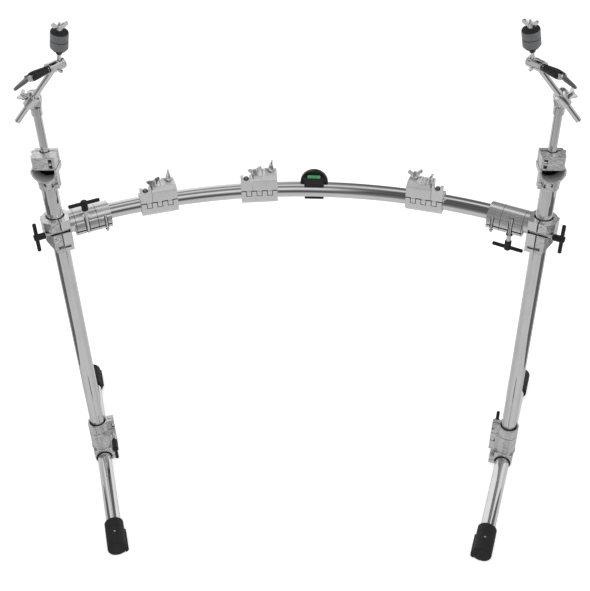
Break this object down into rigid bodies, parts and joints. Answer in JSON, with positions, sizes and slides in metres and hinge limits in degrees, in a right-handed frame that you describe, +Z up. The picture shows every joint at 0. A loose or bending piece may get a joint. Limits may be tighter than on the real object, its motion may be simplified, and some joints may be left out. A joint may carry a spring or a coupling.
{
  "type": "drum rack frame",
  "caption": "Free-standing curved drum rack: a bowed crossbar on two posts with T legs, hinged clamps, a bubble level and two short cymbal booms.",
  "frame": {"origin": "on the floor, at the centre of the bounding box's underside, midway between the two posts", "axes": "+X along the rack from left to right as seen from the open side of the curve, +Y towards the bulge of the crossbar, +Z up"},
  "size_m": [1.3928, 0.7002, 1.2899],
  "materials": {
    "chrome": "polished",
    "cast_metal": "satin, lightly textured casting",
    "black_metal": "satin black",
    "rubber": "matt",
    "felt": "matt grey felt",
    "black_plastic": "semi-gloss",
    "green_vial": "clear green"
  },
  "bodies": {
    "rack_bar": {"crossbar_tube": "chrome"},
    "level": {"level_clip": "black_plastic", "level_vial": "green_vial"},
    "left_multi_clamp": {"left_multi_clamp_body": "cast_metal"},
    "left_multi_clamp_jaw": {"left_multi_clamp_jaw": "cast_metal"},
    "left_multi_clamp_lock_collar": {"left_multi_clamp_lock_collar": "cast_metal"},
    "left_multi_clamp_jaw_wing_nut": {"left_multi_clamp_jaw_wing_nut": "chrome"},
    "left_multi_clamp_rod_wing_nut": {"left_multi_clamp_rod_wing_nut": "chrome"},
    "middle_multi_clamp": {"middle_multi_clamp_body": "cast_metal"},
    "middle_multi_clamp_jaw": {"middle_multi_clamp_jaw": "cast_metal"},
    "middle_multi_clamp_lock_collar": {"middle_multi_clamp_lock_collar": "cast_metal"},
    "middle_multi_clamp_jaw_wing_nut": {"middle_multi_clamp_jaw_wing_nut": "chrome"},
    "middle_multi_clamp_rod_wing_nut": {"middle_multi_clamp_rod_wing_nut": "chrome"},
    "right_multi_clamp": {"right_multi_clamp_body": "cast_metal"},
    "right_multi_clamp_jaw": {"right_multi_clamp_jaw": "cast_metal"},
    "right_multi_clamp_lock_collar": {"right_multi_clamp_lock_collar": "cast_metal"},
    "right_multi_clamp_jaw_wing_nut": {"right_multi_clamp_jaw_wing_nut": "chrome"},
    "right_multi_clamp_rod_wing_nut": {"right_multi_clamp_rod_wing_nut": "chrome"},
    "left_bar_clamp": {"left_bar_clamp_body": "cast_metal"},
    "left_bar_clamp_jaw": {"left_bar_clamp_jaw": "cast_metal"},
    "left_bar_clamp_post_handle": {"left_bar_clamp_post_handle": "black_metal"},
    "left_bar_clamp_bar_handle": {"left_bar_clamp_bar_handle": "black_metal"},
    "left_post": {"left_post": "chrome"},
    "left_base_clamp": {"left_base_clamp_body": "cast_metal"},
    "left_base_clamp_jaw": {"left_base_clamp_jaw": "cast_metal"},
    "left_base_clamp_handle": {"left_base_clamp_handle": "black_metal"},
    "left_leg": {"left_leg_tube": "chrome", "left_front_foot": "rubber", "left_rear_foot": "rubber"},
    "left_top_clamp": {"left_top_clamp_body": "cast_metal"},
    "left_top_clamp_jaw": {"left_top_clamp_jaw": "cast_metal"},
    "left_mast": {"left_mast": "chrome"},
    "left_boom_tilter": {"left_boom_tilter": "chrome"},
    "left_tilter_wing_nut": {"left_tilter_wing_nut": "chrome"},
    "left_boom_arm": {"left_boom_arm": "chrome"},
    "left_cymbal_rod": {"left_cymbal_tilter": "chrome", "left_cymbal_felts": "felt"},
    "left_release_lever": {"left_release_lever": "cast_metal"},
    "left_cymbal_wing_nut": {"left_cymbal_wing_nut": "chrome"},
    "right_bar_clamp": {"right_bar_clamp_body": "cast_metal"},
    "right_bar_clamp_jaw": {"right_bar_clamp_jaw": "cast_metal"},
    "right_bar_clamp_post_handle": {"right_bar_clamp_post_handle": "black_metal"},
    "right_bar_clamp_bar_handle": {"right_bar_clamp_bar_handle": "black_metal"},
    "right_post": {"right_post": "chrome"},
    "right_base_clamp": {"right_base_clamp_body": "cast_metal"},
    "right_base_clamp_jaw": {"right_base_clamp_jaw": "cast_metal"},
    "right_base_clamp_handle": {"right_base_clamp_handle": "black_metal"},
    "right_leg": {"right_leg_tube": "chrome", "right_front_foot": "rubber", "right_rear_foot": "rubber"},
    "right_top_clamp": {"right_top_clamp_body": "cast_metal"},
    "right_top_clamp_jaw": {"right_top_clamp_jaw": "cast_metal"},
    "right_mast": {"right_mast": "chrome"},
    "right_boom_tilter": {"right_boom_tilter": "chrome"},
    "right_tilter_wing_nut": {"right_tilter_wing_nut": "chrome"},
    "right_boom_arm": {"right_boom_arm": "chrome"},
    "right_cymbal_rod": {"right_cymbal_tilter": "chrome", "right_cymbal_felts": "felt"},
    "right_release_lever": {"right_release_lever": "cast_metal"},
    "right_cymbal_wing_nut": {"right_cymbal_wing_nut": "chrome"}
  },
  "joints": [
    {"name": "level_swivel", "type": "hinge", "parent": "rack_bar", "child": "level", "pos_m": [0.037, 0.16113, 0.7925], "axis": [0.9994, -0.0351, 0], "range_deg": [-30, 30]},
    {"name": "left_multi_clamp_swivel", "type": "hinge", "parent": "rack_bar", "child": "left_multi_clamp", "pos_m": [-0.343, 0.10447, 0.7925], "axis": [0.9457, 0.3251, 0], "continuous": true},
    {"name": "left_multi_clamp_jaw_opening", "type": "hinge", "parent": "left_multi_clamp", "child": "left_multi_clamp_jaw", "pos_m": [-0.33487, 0.08083, 0.7995], "axis": [0.9457, 0.3251, 0], "range_deg": [0, 6]},
    {"name": "left_multi_clamp_lock_collar_opening", "type": "hinge", "parent": "left_multi_clamp", "child": "left_multi_clamp_lock_collar", "pos_m": [-0.36324, 0.07108, 0.7995], "axis": [0.9457, 0.3251, 0], "range_deg": [0, 6]},
    {"name": "left_multi_clamp_jaw_wing_nut_turn", "type": "hinge", "parent": "left_multi_clamp_jaw", "child": "left_multi_clamp_jaw_wing_nut", "pos_m": [-0.31466, 0.11739, 0.8458], "axis": [0, 0, 1], "range_deg": [0, 1080]},
    {"name": "left_multi_clamp_rod_wing_nut_turn", "type": "hinge", "parent": "left_multi_clamp_jaw", "child": "left_multi_clamp_rod_wing_nut", "pos_m": [-0.34599, 0.08547, 0.8458], "axis": [0, 0, 1], "range_deg": [0, 1080]},
    {"name": "middle_multi_clamp_swivel", "type": "hinge", "parent": "rack_bar", "child": "middle_multi_clamp", "pos_m": [-0.099, 0.15712, 0.7925], "axis": [0.9956, 0.0938, 0], "continuous": true},
    {"name": "middle_multi_clamp_jaw_opening", "type": "hinge", "parent": "middle_multi_clamp", "child": "middle_multi_clamp_jaw", "pos_m": [-0.09665, 0.13223, 0.7995], "axis": [0.9956, 0.0938, 0], "range_deg": [0, 6]},
    {"name": "middle_multi_clamp_lock_collar_opening", "type": "hinge", "parent": "middle_multi_clamp", "child": "middle_multi_clamp_lock_collar", "pos_m": [-0.12652, 0.12942, 0.7995], "axis": [0.9956, 0.0938, 0], "range_deg": [0, 6]},
    {"name": "middle_multi_clamp_jaw_wing_nut_turn", "type": "hinge", "parent": "middle_multi_clamp_jaw", "child": "middle_multi_clamp_jaw_wing_nut", "pos_m": [-0.06842, 0.16302, 0.8458], "axis": [0, 0, 1], "range_deg": [0, 1080]},
    {"name": "middle_multi_clamp_rod_wing_nut_turn", "type": "hinge", "parent": "middle_multi_clamp_jaw", "child": "middle_multi_clamp_rod_wing_nut", "pos_m": [-0.10637, 0.13935, 0.8458], "axis": [0, 0, 1], "range_deg": [0, 1080]},
    {"name": "right_multi_clamp_swivel", "type": "hinge", "parent": "rack_bar", "child": "right_multi_clamp", "pos_m": [0.3085, 0.11567, 0.7925], "axis": [0.9563, -0.2924, 0], "continuous": true},
    {"name": "right_multi_clamp_jaw_opening", "type": "hinge", "parent": "right_multi_clamp", "child": "right_multi_clamp_jaw", "pos_m": [0.30119, 0.09176, 0.7995], "axis": [0.9563, -0.2924, 0], "range_deg": [0, 6]},
    {"name": "right_multi_clamp_lock_collar_opening", "type": "hinge", "parent": "right_multi_clamp", "child": "right_multi_clamp_lock_collar", "pos_m": [0.32988, 0.08299, 0.7995], "axis": [0.9563, -0.2924, 0], "range_deg": [0, 6]},
    {"name": "right_multi_clamp_jaw_wing_nut_turn", "type": "hinge", "parent": "right_multi_clamp_jaw", "child": "right_multi_clamp_jaw_wing_nut", "pos_m": [0.27973, 0.1276, 0.8458], "axis": [0, 0, 1], "range_deg": [0, 1080]},
    {"name": "right_multi_clamp_rod_wing_nut_turn", "type": "hinge", "parent": "right_multi_clamp_jaw", "child": "right_multi_clamp_rod_wing_nut", "pos_m": [0.31214, 0.09678, 0.8458], "axis": [0, 0, 1], "range_deg": [0, 1080]},
    {"name": "left_bar_clamp_swivel", "type": "hinge", "parent": "rack_bar", "child": "left_bar_clamp", "pos_m": [-0.5675, -0.00383, 0.7925], "axis": [0.8737, 0.4866, 0], "range_deg": [-15, 15]},
    {"name": "left_bar_clamp_jaw_opening", "type": "hinge", "parent": "left_bar_clamp", "child": "left_bar_clamp_jaw", "pos_m": [-0.58341, 0.0268, 0.7925], "axis": [0, 0, 1], "range_deg": [-4, 0]},
    {"name": "left_bar_clamp_post_handle_turn", "type": "hinge", "parent": "left_bar_clamp_jaw", "child": "left_bar_clamp_post_handle", "pos_m": [-0.58834, -0.04862, 0.7905], "axis": [-0.8737, -0.4866, 0], "range_deg": [0, 1080]},
    {"name": "left_bar_clamp_bar_handle_turn", "type": "hinge", "parent": "left_bar_clamp", "child": "left_bar_clamp_bar_handle", "pos_m": [-0.49622, 0.00383, 0.7745], "axis": [0, 0, 1], "range_deg": [0, 1080]},
    {"name": "left_post_height", "type": "slide", "parent": "left_bar_clamp", "child": "left_post", "axis": [0, 0, 1], "range_m": [-0.05, 0.35]},
    {"name": "left_base_clamp_swivel", "type": "hinge", "parent": "left_post", "child": "left_base_clamp", "pos_m": [-0.5675, -0.00383, 0.024], "axis": [0, 0, 1], "continuous": true},
    {"name": "left_base_clamp_jaw_opening", "type": "hinge", "parent": "left_base_clamp", "child": "left_base_clamp_jaw", "pos_m": [-0.57204, -0.02831, 0.103], "axis": [0, 0, 1], "range_deg": [-4, 0]},
    {"name": "left_base_clamp_handle_turn", "type": "hinge", "parent": "left_base_clamp_jaw", "child": "left_base_clamp_handle", "pos_m": [-0.52723, -0.01243, 0.09], "axis": [0.2924, -0.9563, 0], "range_deg": [0, 1080]},
    {"name": "left_leg_slide", "type": "slide", "parent": "left_base_clamp", "child": "left_leg", "axis": [-0.2924, 0.9563, 0], "range_m": [-0.12, 0.12]},
    {"name": "left_top_clamp_swivel", "type": "hinge", "parent": "left_post", "child": "left_top_clamp", "pos_m": [-0.5675, -0.00383, 0.9125], "axis": [0, 0, 1], "continuous": true},
    {"name": "left_top_clamp_jaw_opening", "type": "hinge", "parent": "left_top_clamp", "child": "left_top_clamp_jaw", "pos_m": [-0.5895, 0.00417, 0.9675], "axis": [0, 0, 1], "range_deg": [-4, 0]},
    {"name": "left_mast_swivel", "type": "hinge", "parent": "left_top_clamp", "child": "left_mast", "pos_m": [-0.5635, 0.00417, 0.9675], "axis": [0, 0, 1], "continuous": true},
    {"name": "left_boom_tilt", "type": "hinge", "parent": "left_mast", "child": "left_boom_tilter", "pos_m": [-0.5635, -0.00383, 1.1141], "axis": [0, 1, 0], "range_deg": [-40, 50]},
    {"name": "left_tilter_wing_nut_turn", "type": "hinge", "parent": "left_boom_tilter", "child": "left_tilter_wing_nut", "pos_m": [-0.5635, 0.01117, 1.1141], "axis": [0, 1, 0], "range_deg": [0, 1080]},
    {"name": "left_boom_arm_slide", "type": "slide", "parent": "left_boom_tilter", "child": "left_boom_arm", "axis": [0.6401, 0, 0.7683], "range_m": [-0.03, 0.03]},
    {"name": "left_cymbal_tilt", "type": "hinge", "parent": "left_boom_arm", "child": "left_cymbal_rod", "pos_m": [-0.49187, -0.00844, 1.19354], "axis": [0.5446, 0.8387, 0], "range_deg": [-55, 25]},
    {"name": "left_release_lever_press", "type": "hinge", "parent": "left_boom_arm", "child": "left_release_lever", "pos_m": [-0.53762, -0.07889, 1.19354], "axis": [-0.8387, 0.5446, 0], "range_deg": [-8, 14]},
    {"name": "left_cymbal_wing_nut_turn", "type": "hinge", "parent": "left_cymbal_rod", "child": "left_cymbal_wing_nut", "pos_m": [-0.4745, -0.01972, 1.27081], "axis": [0.2171, -0.141, 0.9659], "range_deg": [0, 1080]},
    {"name": "right_bar_clamp_swivel", "type": "hinge", "parent": "rack_bar", "child": "right_bar_clamp", "pos_m": [0.5675, -0.00383, 0.7925], "axis": [-0.8737, 0.4866, 0], "range_deg": [-15, 15]},
    {"name": "right_bar_clamp_jaw_opening", "type": "hinge", "parent": "right_bar_clamp", "child": "right_bar_clamp_jaw", "pos_m": [0.58341, 0.0268, 0.7925], "axis": [0, 0, 1], "range_deg": [0, 4]},
    {"name": "right_bar_clamp_post_handle_turn", "type": "hinge", "parent": "right_bar_clamp_jaw", "child": "right_bar_clamp_post_handle", "pos_m": [0.58834, -0.04862, 0.7905], "axis": [0.8737, -0.4866, 0], "range_deg": [0, 1080]},
    {"name": "right_bar_clamp_bar_handle_turn", "type": "hinge", "parent": "right_bar_clamp", "child": "right_bar_clamp_bar_handle", "pos_m": [0.49622, 0.00383, 0.7745], "axis": [0, 0, 1], "range_deg": [0, 1080]},
    {"name": "right_post_height", "type": "slide", "parent": "right_bar_clamp", "child": "right_post", "axis": [0, 0, 1], "range_m": [-0.05, 0.35]},
    {"name": "right_base_clamp_swivel", "type": "hinge", "parent": "right_post", "child": "right_base_clamp", "pos_m": [0.5675, -0.00383, 0.024], "axis": [0, 0, 1], "continuous": true},
    {"name": "right_base_clamp_jaw_opening", "type": "hinge", "parent": "right_base_clamp", "child": "right_base_clamp_jaw", "pos_m": [0.57204, -0.02831, 0.103], "axis": [0, 0, 1], "range_deg": [0, 4]},
    {"name": "right_base_clamp_handle_turn", "type": "hinge", "parent": "right_base_clamp", "child": "right_base_clamp_handle", "pos_m": [0.53892, 0.02583, 0.09], "axis": [0.2924, 0.9563, 0], "range_deg": [0, 1080]},
    {"name": "right_leg_slide", "type": "slide", "parent": "right_base_clamp", "child": "right_leg", "axis": [0.2924, 0.9563, 0], "range_m": [-0.12, 0.12]},
    {"name": "right_top_clamp_swivel", "type": "hinge", "parent": "right_post", "child": "right_top_clamp", "pos_m": [0.5675, -0.00383, 0.9125], "axis": [0, 0, 1], "continuous": true},
    {"name": "right_top_clamp_jaw_opening", "type": "hinge", "parent": "right_top_clamp", "child": "right_top_clamp_jaw", "pos_m": [0.5895, 0.00417, 0.9675], "axis": [0, 0, 1], "range_deg": [0, 4]},
    {"name": "right_mast_swivel", "type": "hinge", "parent": "right_top_clamp", "child": "right_mast", "pos_m": [0.5635, 0.00417, 0.9675], "axis": [0, 0, 1], "continuous": true},
    {"name": "right_boom_tilt", "type": "hinge", "parent": "right_mast", "child": "right_boom_tilter", "pos_m": [0.5635, -0.00383, 1.1141], "axis": [0, 1, 0], "range_deg": [-50, 40]},
    {"name": "right_tilter_wing_nut_turn", "type": "hinge", "parent": "right_boom_tilter", "child": "right_tilter_wing_nut", "pos_m": [0.5635, 0.01117, 1.1141], "axis": [0, 1, 0], "range_deg": [0, 1080]},
    {"name": "right_boom_arm_slide", "type": "slide", "parent": "right_boom_tilter", "child": "right_boom_arm", "axis": [-0.6401, 0, 0.7683], "range_m": [-0.03, 0.03]},
    {"name": "right_cymbal_tilt", "type": "hinge", "parent": "right_boom_arm", "child": "right_cymbal_rod", "pos_m": [0.49187, -0.00844, 1.19354], "axis": [-0.5446, 0.8387, 0], "range_deg": [-25, 55]},
    {"name": "right_release_lever_press", "type": "hinge", "parent": "right_boom_arm", "child": "right_release_lever", "pos_m": [0.53762, -0.07889, 1.19354], "axis": [0.8387, 0.5446, 0], "range_deg": [-14, 8]},
    {"name": "right_cymbal_wing_nut_turn", "type": "hinge", "parent": "right_cymbal_rod", "child": "right_cymbal_wing_nut", "pos_m": [0.4745, -0.01972, 1.27081], "axis": [-0.2171, -0.141, 0.9659], "range_deg": [0, 1080]}
  ]
}
